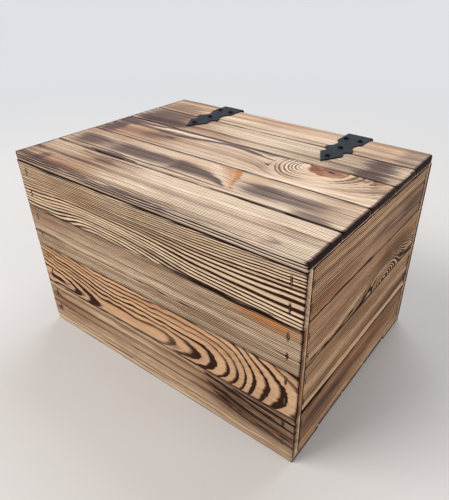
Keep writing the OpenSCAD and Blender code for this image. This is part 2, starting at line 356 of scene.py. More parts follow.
def ringField(u, v, d, spec):
    # ring count. With a pith path: distance from the pith, which runs along u at a height and a
    # depth, over the spacing. Otherwise: growth along s, the height across the plank, curved with
    # depth, and round a knot the oval distance from its middle where that is less, so that the
    # lines bulge round it, less and less with distance. Crowding scales the height at places of u.
    # An eye is a nest of ovals with a slanting middle line, which the lines outside lie against.
    # All wave a little
    seed = spec["seed"]
    high, long, wide = spec["wave"]
    t = v + 0.7 * d
    bent = v + high * lattice(seed, u / long, t / wide)
    bent = bent + 0.36 * high * lattice(seed + 1, u / (0.3 * long), t / (0.4 * wide))
    for cu, cv, ru, rv, amount in spec["swells"]:
        bent = bent - amount * bell(u - cu, ru) * bell(v - cv, rv)
    for cv, rv, path in spec["sways"]:
        bent = bent - eased(u, path) * bell(v - cv, rv, 3)
    if "pith" in spec:
        reach = np.hypot(bent - eased(u, spec["pith"], 1), d + eased(u, spec["pith"], 2))
        spacing = eased(u, spec["spacing"])
        rings = (reach - spec["start"]) / spacing
        years = reach / (2.7 * spacing)
    else:
        rings = boardRings(u, bent, d, spec)
        years = rings / 2.7
    return rings + spec["uneven"] * lattice(seed + 2, years, 0 * u) + 40.0 * seed


def boardRings(u, bent, d, spec):
    seed = spec["seed"]
    up = -1 if "down" in spec else 1
    base = spec.get("down", 0.0)
    crowd = 1 + eased(u, spec["crowding"])
    s = base + up * bent * crowd + 0.6 * d + d * d / 50
    for cu, cv, left, right, lift, soft, fade in spec["knots"]:
        du = (u - cu) / np.where(u < cu, left, right)
        dv = bent - cv
        away = np.hypot(du, dv)
        turn = 1.3 / np.maximum(away, 0.1)
        away = away * (1 + 0.07 * lattice(seed + 4, du * turn, dv * turn + away / 16))
        oval = base + up * cv - lift + away
        less = 0.5 * (s + oval - np.sqrt((s - oval) ** 2 + soft * soft))
        s = s + (less - s) * bell(away, fade, 3)
    rings = growth(s, spec["across"])
    for cu, cv, left, right, tilt, radius, step, soft, edge in spec["eyes"]:
        du = (u - cu) / np.where(u < cu, left, right)
        dv = bent - cv - 0.5 * tilt * (u - cu + np.hypot(u - cu, 14) - 14)
        past = np.hypot(du, dv) + 0.2 * d - radius
        outer = growth(edge, spec["across"])
        beyond = (rings - outer) * (1 - np.exp(-np.maximum(past, 0) / soft))
        rings = outer + np.where(past < 0, past / step, beyond)
    return rings


def sectionLoop(width, thick, corners, outer, inner, sides):
    # rounded rectangle as a closed loop: outer face 0, far edge 1, inner face 2, near edge 1;
    # gives v, d, the outward normal's v and d, and the face
    nearOut, farOut, farIn, nearIn = corners
    turn = np.radians([18, 45, 72])
    s, c = np.sin(turn), np.cos(turn)
    pieces = []

    def add(v, d, nv, nd, face):
        pieces.append(np.stack(np.broadcast_arrays(v, d, nv, nd, face)).astype(float))

    def bend(r, v, d, nv, nd, face):
        add(v + r * nv, d + r * nd, nv, nd, face)

    add(np.linspace(nearOut, width - farOut, outer), 0.0, 0.0, -1.0, 0.0)
    bend(farOut, width - farOut, farOut, s, -c, 0.0)
    add(width, np.linspace(farOut, thick - farIn, sides), 1.0, 0.0, 1.0)
    bend(farIn, width - farIn, thick - farIn, c, s, 2.0)
    add(np.linspace(width - farIn, nearIn, inner), thick, 0.0, 1.0, 2.0)
    bend(nearIn, nearIn, thick - nearIn, -s, c, 2.0)
    add(0.0, np.linspace(thick - nearIn, nearOut, sides), -1.0, 0.0, 1.0)
    bend(nearOut, nearOut, nearOut, -c, -s, 0.0)
    return np.concatenate(pieces, axis=1)


def rowPlaces(length, step, fine, bevel):
    # places along the stick: even rows, closer together in the fine stretches. The second column
    # is how far a row is drawn in: over 0 towards the middle of an end, under 0 by the bevel
    body = [np.linspace(bevel, length - bevel, int(length / step) + 1)]
    body += [np.arange(middle - half, middle + half, close) for middle, half, close in fine]
    body = np.concatenate(body)
    body = np.unique(np.round(body[(body >= bevel) & (body <= length - bevel)], 2))
    body = body[np.concatenate([[True], np.diff(body) > 0.15])]
    low = np.array([[0, 0.86], [0, 0.6], [0, 0.36], [0, 0.14], [0, -1], [0.3 * bevel, -0.3]])
    middle = np.stack([body, np.zeros_like(body)], axis=1)
    return np.concatenate([low, middle, (length, 0) + low[::-1] * (-1, 1)])


def stickGrid(spec, length, width, thick):
    # section loop carried along u, rows by loop points, drawn in at the bevels and over the ends
    bevel = spec["bevel"]
    outer = max(6, int(width / spec["pitch"]))
    loop = sectionLoop(width, thick, spec["corners"], outer, spec["inner"], spec["sides"])
    rows = rowPlaces(length, spec["step"], spec["fine"], bevel)
    u = np.repeat(rows[:, :1], loop.shape[1], axis=1)
    drawn = rows[:, 1:]
    inset = np.where(drawn > 0, bevel + drawn * (thick / 2 - bevel), -drawn * bevel)
    v = width / 2 + (loop[0] - width / 2) * (1 - 2 * inset / width)
    d = thick / 2 + (loop[1] - thick / 2) * (1 - 2 * inset / thick)
    return u, v, d, (drawn > 0) | (drawn == -1), loop


def lineGap(ring, u, v):
    # distance from line to line: one over the ring count's slope
    slopes = []
    for axis, place in ((1, np.broadcast_to(v, ring.shape)), (0, u)):
        step = np.abs(np.gradient(place, axis=axis))
        slopes.append(np.gradient(ring, axis=axis) / np.maximum(step, 0.3))
    return 1 / np.maximum(np.hypot(*slopes), 0.02)


def addHearts(f, spec, u, v):
    # knots: their own small rings, a dark rim and a reddish colour
    seed = spec["seed"]
    for cu, cv, ru, rv, hue, shade, rim in spec["hearts"]:
        q = np.hypot((u - cu) / ru, (v - cv) / rv) * (1 + 0.08 * lattice(seed + 3, u / 7, v / 5))
        inside = np.clip((1.04 - q) / 0.1, 0, 1)
        own = 40 * seed + q * rv / 2.6 + 0.4 * lattice(seed + 11, u / 6, v / 4)
        f.ring = np.where(q < 1, own, f.ring)
        shade = shade - 0.5 * (u - cu) / ru + 0.35 * lattice(seed + 12, u / 7, v / 4)
        f.warm += inside * (hue + 0.25 * lattice(seed + 14, u / 5, v / 3) - f.warm)
        f.tone += inside * (shade - f.tone)
        f.contrast += inside * (0.3 - f.contrast)
        f.burn += inside * (0.1 - f.burn) + rim * bell(q - 1, 0.07)


def addSpike(f, spec, u, v, ragU):
    # a branch cut lengthwise: unburnt golden wedge, orange along one side
    for u0, u1, vTop, u2, u3, vFoot in spec["spike"]:
        t = (vTop - v) / (vTop - vFoot)
        low = u0 + (u2 - u0) * t
        wide = u1 + (u3 - u1) * np.clip(t, 0, 2) ** 0.6 - low
        w = (u + 0.25 * (ragU - u) - low) / np.maximum(wide, 1.5)
        above = t < 1.03
        inside = np.clip(w * wide / 2.5, 0, 1) * np.clip((1 - w) * wide / 1.2, 0, 1) * above
        beside = bell(w + 0.25, 0.3) * above
        edge = inside * np.clip(w * 2.4 - 1.1, 0, 1)
        fibres = lattice(spec["seed"] + 15, w * 9, v / 30)
        f.burn *= (1 - inside) * (1 - 0.6 * beside)
        f.burn += 0.25 * edge * np.clip(fibres, 0, 1)
        f.tone += inside * (0.1 + 0.3 * fibres) + 0.8 * edge - 0.3 * beside
        f.warm += 0.26 * inside + 0.32 * edge
        f.ring = f.ring + inside * 0.9 * w


stickDefaults = dict(
    wave=(1.2, 45, 22), uneven=0.5, start=0, crowding=[(0, 0)],
    look=(0.6, 0.3, 0), burn=0, relief=0.28,    # look: contrast of the lines, tone, warmth
    edgeBurnAndShade=(0.8, 0.8), gap=0.22, rimWide=1.2, rimBurn=0.55, rawInside=0.75,
    capTone=(0.6, 0.6), capWarm=(0, 0), capBurn=(0.1, 0.1), capRim=0.9, capLines=0.4,
    bevel=0.7, corners=(0.9, 0.9, 0.8, 0.8), pitch=0.6, step=2.4, inner=12, sides=5,
    **dict.fromkeys(("swells", "sways", "knots", "eyes", "contrasts", "tones", "warms", "burns", "slotCrushAndShade",
                     "hearts", "spike", "skirt", "cracks", "dents", "wanes", "rounded", "fine"), ()),
)
scorch = 2.2   # how deep, in mm, the flame reached into the long side faces


def makeStick(node, side, spec, material, body="box", ends=(), drop=0.0):
    corner, axes, (length, width, thick) = stickFrame(node, side)
    spec = {**stickDefaults, **spec}
    markStaples(spec, width, ends, drop)
    seed = spec["seed"]
    u, v, d, onCap, loop = stickGrid(spec, length, width, thick)
    face = loop[4]
    near, far = v, width - v
    isNear = near < far
    onSkin = bell(np.maximum(d, 0), 0.45 * thick)
    reached = bell(loop[1], scorch)
    ring = ringField(u, v, d, spec)
    apart = lineGap(ring, u, v)
    share = ring - np.floor(ring)
    late = np.clip((share - 0.3) / 0.35, 0, 1) * np.clip((1 - share) / 0.1, 0, 1)
    contrast, tone, warm, burn = (k + np.zeros_like(u) for k in (*spec["look"], spec["burn"]))
    contrast = 1.8 * contrast * np.clip(apart / 1.2, 0.3, 1)
    f = SimpleNamespace(ring=ring, contrast=contrast, tone=tone, warm=warm, burn=burn)
    ragU = u + 5 * lattice(seed + 5, u / 17, v / 6) + 5 * lattice(seed + 10, u / 40, v / 1.7)
    ragV = v + 1.6 * lattice(seed + 6, u / 30, v / 9)
    for kind in ("contrast", "tone", "warm", "burn"):
        field = getattr(f, kind)
        for spot in spec[kind + "s"]:
            amount = spot[-1] * patch(ragU, ragV, spot)
            if kind == "burn":
                amount = np.where(amount > 0, amount * np.clip(1.15 - field, 0, 1), amount)
            field += amount
    f.burn *= np.where(face == 1, 0.25 + 0.75 * reached, 1.0)
    addHearts(f, spec, u, v)
    addSpike(f, spec, u, v, ragU)
    nearFace = bool(spec["skirt"]) & (face >= 1) & (near < 1.2) & ~onCap
    f.tone += 0.05 * nearFace
    # skirt lines on the near edge face are grain lines; the deepest one on the lid's front edge is also
    # painted shadow of the gap over the wall
    for depth, wide, amount in spec["skirt"]:
        wander = 0.6 * lattice(seed + 13, u / 40, 0 * u) * (depth < 8)
        f.burn += nearFace * amount * bell(d - depth + wander, wide)
    # the staples' slots darkened: partly crushed wood, partly painted shade in the slot
    for spot in spec["slotCrushAndShade"]:
        f.burn += spot[-1] * patch(u, v, spot) * onSkin
    for cu, cv, ru, rv, amount in spec["cracks"]:
        f.burn += amount * bell(u - cu, ru, 6) * bell(ragV - cv, rv)
    # long edges: dark scorched line, which on the walls' top edges also stands for painted shade under the
    # lid, worn wavy arris and a slight gap to the neighbour
    edgeDist = np.minimum(near, far)
    row = np.where(isNear, 0.0, 50.0)
    wear = 0.5 + 0.5 * lattice(seed + 7, u / 14 + row, row)
    edgeBurnAndShade = np.where(isNear, *spec["edgeBurnAndShade"]) * ~nearFace
    scorched = np.where(face == 1, reached, onSkin)
    f.burn += edgeBurnAndShade * (0.5 + 0.5 * wear) * bell(edgeDist, 1.6) * scorched
    rim = spec["rimWide"]
    f.burn += spec["rimBurn"] * onSkin * (bell(u, rim) + bell(length - u, rim))
    for kind in ("Tone", "Warm", "Burn"):
        field = getattr(f, kind.lower())
        field += onCap * np.where(u < length / 2, *spec["cap" + kind])
    f.burn += onCap * spec["capRim"] * (bell(np.maximum(d, 0), 1.0) + bell(thick - d, 1.0))
    f.contrast *= np.where(onCap, spec["capLines"], 1.0)
    raw = spec["rawInside"] * (d > 0.75 * thick)
    f.burn *= 1 - raw
    f.contrast *= 1 - 0.5 * raw
    f.tone = f.tone * (1 - raw) + raw * 0.12
    # relief: early wood sinks between the late lines, and less where lines crowd together
    sink = spec["relief"] * np.clip((apart - 1.5) / 1.2, 0, 1) * (1 - late) * np.clip(f.contrast, 0, 1)
    sink = sink + 0.06 * (1 + lattice(seed + 8, u / 25, v / 7))
    for spot in spec["dents"]:
        sink += spot[-1] * patch(u, v, spot)
    sink = sink * np.choose(face.astype(int), [1.0, 0.5, 0.25]) * ~onCap
    v = v - sink * loop[2]
    d = d - sink * loop[3]
    wane = spec["gap"] * (1 + 0.6 * lattice(seed + 9, u / 22 + row, row)) * bell(edgeDist, 2.2)
    v = v + np.where(isNear, wane, -wane)
    d = d + 0.35 * wear * bell(edgeDist, 0.9) * (face == 0)
    for edge, cu, ru, amount, reach in spec["wanes"]:
        dist = far if edge else near
        bite = amount * bell(u - cu, ru, 4) * bell(np.maximum(dist, 0), reach) * (1 - 0.8 * d / thick)
        v = v - bite if edge else v + bite
        f.burn += 0.8 * np.clip(bite, 0, 1)
    # the lid's corners, rounded in plan: the end moves in by the circle's sagitta
    for edge, r in spec["rounded"]:
        dist = np.clip((width - v) if edge else v, 0, r)
        pull = r - np.sqrt(np.maximum(r * r - (r - dist) ** 2, 0))
        u = u + pull * np.clip(1 - u / 24, 0, 1) - pull * np.clip(1 - (length - u) / 24, 0, 1)
    place = corner + mm * np.stack([u, v, d], axis=-1) @ axes
    piece = makeMesh(node + "_look", place.reshape(-1, 3), gridQuads(*u.shape), gridCaps(*u.shape))
    grain = np.stack([u + 500 * (seed % 17), v + 90 * (seed % 13), d], axis=-1) * mm
    look = np.stack([f.tone, f.warm, np.clip(f.contrast, 0, 2.2)], axis=-1)
    fields = dict(ring=f.ring, burn=np.clip(f.burn, 0, 1.3), look=look, grain=grain)
    for name, values in fields.items():
        isVector = values.ndim == 3
        layer = piece.data.attributes.new(name, "FLOAT_VECTOR" if isVector else "FLOAT", "POINT")
        layer.data.foreach_set("vector" if isVector else "value", values.astype(np.float32).ravel())
    handOver(piece, node, body, material)


def gridQuads(rows, around):
    # faces between rows of points that close on themselves
    i, j = np.arange(rows - 1)[:, None], np.arange(around)[None]
    k = (j + 1) % around
    corners = (i * around + j, (i + 1) * around + j, (i + 1) * around + k, i * around + k)
    return np.stack(corners, axis=-1).reshape(-1, 4)


def gridCaps(rows, around, start=0):
    # the faces that close the first and the last row
    last = start + (rows - 1) * around
    return [list(range(start, start + around)), list(range(last, last + around))[::-1]]


def makeMesh(name, points, quads, caps=()):
    # grid of quads plus any closing faces, put in by foreach_set
    mesh = bpy.data.meshes.new(name)
    loops = np.concatenate([quads.ravel(), [n for cap in caps for n in cap]]).astype(np.int32)
    sizes = np.concatenate([np.full(len(quads), 4), [len(cap) for cap in caps]]).astype(int)
    mesh.vertices.add(len(points))
    mesh.vertices.foreach_set("co", points.astype(np.float32).ravel())
    mesh.loops.add(len(loops))
    mesh.loops.foreach_set("vertex_index", loops)
    mesh.polygons.add(len(sizes))
    mesh.polygons.foreach_set("loop_start", (np.cumsum(sizes) - sizes).astype(np.int32))
    mesh.polygons.foreach_set("use_smooth", np.ones(len(sizes), bool))
    mesh.update(calc_edges=True)
    mesh.validate()
    piece = bpy.data.objects.new(name, mesh)
    scene.collection.objects.link(piece)
    return piece


def handOver(piece, node, body, material):
    piece.data.materials.append(material)
    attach(piece, body)
    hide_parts(node)


stickAxes = dict(   # u along the stick, v across its outer face, d inwards; u x v points outwards
    front=(xWay, zWay, yWay), back=(-xWay, zWay, -yWay), right=(yWay, zWay, -xWay),
    left=(-yWay, zWay, xWay), top=(xWay, yWay, -zWay), foot=(xWay, -yWay, zWay),
    post=(zWay, xWay, -yWay), batten=(yWay, xWay, zWay),
)


def stickFrame(node, side):
    # the corner where all three axes start, the axes, and length, width and thickness
    axes = np.array(stickAxes[side])
    low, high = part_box(node)
    size = np.array((high - low) / mm)[np.abs(axes).argmax(axis=1)]
    return np.where(axes.sum(axis=0) > 0, low, high), axes, size


longEnds = (14.0, 386.0)   # staples' places along the front and back planks, and along the end walls'
shortEnds = (4.0, 267.0)
staple = dict(crown=9.0, wire=1.2, bend=1.0, endIn=14.0, low=19.0, high=13.0, endDrop=4.5,
          slatIn=6.0, slatEdge=15.5, battenOff=11.0, wallLeg=25.0, lidLeg=20.0, proud=0.2)


def markStaples(spec, width, ends, drop):
    # two staples near each end of a plank: finer rows there, a pressed slot, and a dark edge to it that is
    # partly crushed wood and partly painted shade in the slot
    spec["fine"] = spec["fine"] or [(u, 3, 0.5) for u in ends]
    places = [(u, v) for u in ends for v in (staple["low"] - drop, width - staple["high"] - drop)]
    spec["dents"] = [(u, v, 1.15, 5.6, 0.6) for u, v in places]
    spec["slotCrushAndShade"] = [(u, v, 1.7, 6.2, 0.3 if u < 100 else 0.7) for u, v in places]


def laySticks(kind, side, specs, seed, common, material, body="box", ends=(), drop=0.0):
    # all sticks of a kind, each with its own values over the common ones
    for number, spec in specs.items():
        spec = {"seed": seed + number, **common, **spec}
        makeStick(f"{kind}_{number}", side, spec, material, body, ends, drop)
    print(kind + "s laid")


# walls

frontPlanks = {
    1: dict(across=[(-20, 3.4), (20, 2.8), (40, 2.6), (60, 2.6)], wave=(1, 34, 14), sways=[(34, 40, [(0, 0),
        (270, 0), (300, -2), (340, -7), (400, -12)])], swells=[(304, 34, 22, 14, 3)], look=(0.62, 0.44, 0),
        contrasts=[(350, 34, 74, 24, 1.2)], tones=[(345, 38, 62, 22, 0.45), (200, 3.2, 230, 1, -0.7),
        (110, 44, 100, 4, -0.25), (36, 30, 46, 26, 0.25), (150, 52, 170, 3, 0.45), (150, 12, 160, 3, -0.25)],
        burns=[([(286, 56, 1.6), (310, 51, 3), (335, 46, 2.4), (365, 42, 1.8), (400, 37, 1.3)], 0.85),
        ([(284, 45, 1.2), (302, 42, 2.4), (330, 34, 2.6), (360, 29, 1.6), (400, 25, 1.1)], 0.85),
        ([(292, 35, 1.4), (312, 31, 3), (335, 25, 1.6), (400, 17, 1)], 0.8),
        ([(300, 24, 1), (330, 19, 1.4), (400, 13, 0.8)], 0.6), (346, 42, 58, 16, 0.34),
        ([(320, 54, 1.2), (350, 52, 2.6), (400, 49, 1.6)], 0.7),
        ([(0, 25, 0.7), (150, 24, 1), (296, 26, 0.8)], 0.6), ([(0, 38, 0.6), (140, 37, 0.8)], 0.5),
        ([(60, 53, 1.6), (270, 54, 1)], 0.45), (14, 42, 9, 3.5, 0.6), (15, 16, 9, 4, 0.6),
        (200, 45, 90, 1.2, 0.3)], capBurn=(0.4, 0.1), capTone=(0.6, 0.1)),
    2: dict(pith=[(-10, 9, -6), (8, 9, -3.2), (40, 9, 2.6), (73, 9, 9.1), (109, 8.5, 15.4), (122, 8.5, 16.4),
        (222, 12, 17.4), (237, 14.3, 20.3), (280, 18, 26.1), (302, 20, 31.9), (321, 21, 37.7),
        (332, 21.4, 43.5), (340.5, 22, 49.3), (350.5, 21.5, 55.1), (367, 23.5, 60.9), (388, 24, 66.7),
        (410, 24, 72)], spacing=[(0, 5.8), (400, 5.8)], start=16.45, uneven=0.14, wave=(2.1, 36, 20),
        sways=[(44, 32, [(-10, 13), (30, 10), (110, 2), (150, 0), (400, 0)])], look=(0.6, 0.21, 0.44),
        tones=[(6, 8, 16, 14, 0.2), (50, 34, 90, 40, 0.1), (40, 40, 60, 22, 0.1), (200, 50, 60, 6, 0.25),
        (300, 40, 30, 10, 0.2)], contrasts=[(330, 15, 100, 13, 0.32), (60, 10, 60, 9, 0.55),
        (80, 38, 110, 22, 0.5)], burns=[(160, 1.2, 60, 1.3, 0.8), (36, 10, 12, 5, 0.6), (70, 9, 10, 5, 0.6),
        (104, 8, 15, 5, 0.5), (238, 11, 11, 8, 0.55), (276, 13, 10, 9, 0.35), (376, 12, 30, 13, 0.3),
        (0, 10, 8, 8, 0.5)], capBurn=(0.5, 0.3), capTone=(0.6, 1), capWarm=(0, 0.35), relief=0.42),
    3: dict(across=[(0, 2.2), (60, 2)], wave=(0.7, 60, 22), look=(0.7, 0.13, -0.12),
        tones=[(200, 25.4, 230, 2.2, -1.5), (200, 14, 230, 3, 0.3), (200, 5, 230, 2, -0.4),
        (130, 48, 140, 5, 0.4), (30, 30, 40, 40, 0.25), (190, 33, 190, 2, 0.3), (260, 15, 150, 2, 0.3),
        (160, 41, 190, 3, 0.2), (300, 27, 100, 1.4, -0.4)], warms=[(362, 49, 38, 8, 1.1)],
        burns=[(330, 53.8, 60, 1.6, 0.7), (60, 46, 70, 3, 0.25),
        ([(100, 34, 0.7), (250, 33, 0.9), (400, 32, 0.6)], 0.5),
        ([(0, 20, 0.8), (200, 19.3, 1), (400, 19, 0.6)], 0.75), (330, 42, 110, 2, 0.3)],
        contrasts=[(330, 20, 90, 24, 0.3), (200, 25.4, 230, 2.4, -0.7)], capBurn=(0.5, 0.38),
        capTone=(0.6, 1), capWarm=(0, 0.4)),
    4: dict(across=[(-40, 5), (0, 4.5), (26, 3.8), (40, 2.6), (60, 2.3)], wave=(0.8, 70, 26), uneven=0.4,
        knots=[(134, -12, 3, 4.4, 14, 5, 44)], sways=[(10, 46, [(0, 2), (130, 0), (200, -1), (400, -6)]),
        (58, 36, [(0, 0), (180, 0), (400, 14)])], look=(0.9, 0.0, -0.04), contrasts=[(330, 32, 140, 34, 0.18),
        (170, 14, 190, 12, 0.1), (80, 46, 90, 8, -0.2), (80, 14, 110, 16, -0.3)],
        tones=[(150, 46, 160, 8, 0.3), (60, 8, 70, 7, -0.2), (250, 5, 150, 4, -0.2), (190, 34, 100, 5, 0.4),
        (60, 30, 80, 44, 0.22)], relief=0.36,
        burns=[([(236, 1.4, 0.5), (262, 1.8, 1.3), (290, 1.2, 0.6)], 0.85), (190, 33, 80, 5, 0.2),
        ([(296, 1.2, 0.5), (332, 3.2, 1.2), (372, 2.6, 0.5)], 0.8), (60, 57, 64, 1.4, 0.5),
        (300, 56, 120, 1.2, 0.35), ([(160, 18, 0.8), (250, 8, 1.4), (330, 5, 0.8)], 0.4),
        # top edge: the last ribbon and the far edge burn are a charred arris, darkened further as painted
        # shade under the lid's front edge
        ([(-9, 59.3, 1.3), (200, 59.4, 1.1), (410, 59.7, 0.5)], 1.2)], edgeBurnAndShade=(0.8, 1.3),
        capBurn=(0.3, 0.1), capTone=(0.6, 0.3)),
}

# the right wall's tones, higher than the front's: partly the wood's own darker colour, partly painted shade
# of the side that faces away from the window
rightPlanks = {
    1: dict(across=[(0, 2.3), (60, 2.4)], look=(0.85, 0.82, 0.06), burn=0.16, tones=[(140, 5, 160, 5, -0.7),
        (150, 20, 130, 8, -0.35)], warms=[(228, 38, 40, 9, 0.3), (130, 14, 150, 8, 0.15)],
        wanes=[(1, 22, 40, 0.8, 3)], burns=[([(0, 51, 0.8), (30, 54, 1), (55, 57, 0.9)], 0.95),
        (228, 44, 60, 6, 0.3), (60, 40, 60, 8, 0.3), (40, 30, 46, 14, 0.25), (150, 30, 120, 2, 0.3),
        (240, 28, 44, 40, 0.16)]),
    2: dict(across=[(0, 2.4), (60, 2.5)], look=(0.85, 0.56, 0.2),
        burns=[([(0, 15, 1.5), (120, 15, 2.5), (271, 17, 6)], 0.4), (235, 18, 48, 8, 0.25),
        (60, 54, 70, 4, 0.3), (266, 30, 6, 30, 0.5), (150, 38, 120, 2, 0.25)],
        tones=[(140, 6, 160, 4.6, -1.4), (140, 34, 160, 5, -0.5), (60, 27, 60, 3, -0.3)],
        contrasts=[(140, 5.5, 160, 4.8, -0.6)], wanes=[(0, 26, 34, 1, 3)], edgeBurnAndShade=(1.2, 0.9)),
    3: dict(across=[(-30, 3.8), (0, 3.6), (20, 3), (60, 2.4)], wave=(0.8, 50, 20),
        knots=[(181, -3, 2.3, 2, 20, 2.5, 36)], sways=[(8, 24, [(0, -3), (60, 0), (128, 8), (170, 6),
        (215, 6), (271, -3)])], look=(0.85, 0.5, 0.14), contrasts=[(185, 12, 56, 20, 1.2)],
        warms=[(140, 26, 22, 24, 0.35), (160, 8, 12, 9, 0.3)], tones=[([(0, 10, 2.2), (60, 9.5, 2.4),
        (100, 15, 2.4), (132, 21, 1.8)], -1.3), (185, 10, 46, 14, -0.4),
        ([(212, 21, 1.5), (240, 15, 2.4), (271, 11, 2.4)], -1.5), (215, 36, 56, 12, 0.4),
        (140, 28, 20, 20, -0.25)], burns=[([(0, 4.5, 1.3), (43, 2, 1), (80, 4, 1.7), (108, 10, 1.2),
        (130, 17, 0.8)], 1), ([(100, 1, 1.2), (122, 2.5, 2.6), (138, 8, 3.6), (150, 13, 1.4)], 1),
        ([(212, 17, 0.8), (232, 10, 2.6), (252, 5, 4), (269, 3, 3)], 0.9), (176, 46, 8, 3, 0.35),
        (190, 40, 60, 5, 0.35)]),
    4: dict(across=[(0, 2.6), (60, 2.5)], look=(0.85, 0.38, 0.24), burns=[(205, 16, 86, 16, 0.46),
        (236, 28, 54, 16, 0.24), (150, 24, 30, 8, 0.2), ([(0, 1.6, 1), (80, 1.8, 1.3), (170, 1, 0.6)], 0.95),
        (268, 30, 4, 30, 0.35), (200, 56, 70, 2, 0.35), (60, 20, 70, 6, 0.3)], tones=[(70, 40, 80, 12, -0.3),
        (40, 2, 40, 3, -0.3), (170, 46, 100, 4, -0.3), (40, 14, 60, 8, 0.3)], warms=[(60, 44, 70, 12, 0.1)],
        # far edge burn: a charred top arris, darkened further as painted shade under the lid's end
        contrasts=[(60, 20, 60, 14, 0.4)], edgeBurnAndShade=(0.8, 1.5)),
}

leftPlanks = {
    1: dict(pith=[(0, 22, 8), (120, 26, 20), (271, 30, 44)], spacing=[(0, 4.4), (271, 4.4)],
        look=(0.7, 0.5, 0.2), burns=[(200, 50, 60, 8, 0.3)]),
    2: dict(across=[(0, 2.4), (60, 2.7)], look=(0.42, 0.45, 0), burns=[(80, 20, 60, 6, 0.35)]),
    3: dict(down=55.6, across=[(-30, 3.6), (0, 3.4), (20, 2.6), (60, 2.5)],
        knots=[(92, 56, 1.5, 1.7, 16, 3, 34)], look=(0.6, 0.4, 0), hearts=[(92, 54, 9, 6, 0.1, 1, 0.6)],
        burns=[(92, 50, 16, 8, 0.3)], fine=[(4, 3, 0.5), (92, 30, 1.1), (267, 3, 0.5)]),
    4: dict(across=[(0, 2.8), (60, 2.4)], look=(0.5, 0.3, 0), burns=[(180, 30, 60, 12, 0.35)]),
}

backPlanks = {
    1: dict(across=[(0, 2.6), (60, 2.4)], look=(0.45, 0.55, 0), burns=[(120, 30, 70, 8, 0.35)]),
    2: dict(pith=[(-10, 34, 50), (90, 32, 36), (200, 30, 22), (300, 30, 14), (410, 28, 6)], spacing=[(0, 5.2),
        (400, 5.2)], uneven=0.2, wave=(1.5, 45, 24), look=(0.9, 0.25, 0.3), relief=0.38),
    3: dict(across=[(0, 2.2), (60, 2.6)], look=(0.5, 0.35, -0.1), burns=[(300, 24, 60, 9, 0.4)]),
    4: dict(across=[(-30, 4), (0, 3.6), (30, 2.8), (60, 2.4)], knots=[(262, -8, 2.4, 3.6, 12, 4, 36)],
        look=(0.7, 0.25, 0), burns=[(90, 20, 60, 8, 0.3)]),
}

endRims = dict(rimBurn=1.2, rimWide=1.7)
backCaps = dict(capTone=(1.0, 0.7), capBurn=(0.45, 0.2))
laySticks("front_plank", "front", frontPlanks, 10, {}, wallWood, ends=longEnds)
for side, planks, seed in (("right", rightPlanks, 20), ("left", leftPlanks, 30)):
    laySticks(side + "_plank", side, planks, seed, endRims, wallWood, "box", shortEnds,
              staple["endDrop"])
laySticks("back_plank", "back", backPlanks, 40, backCaps, wallWood, ends=longEnds)
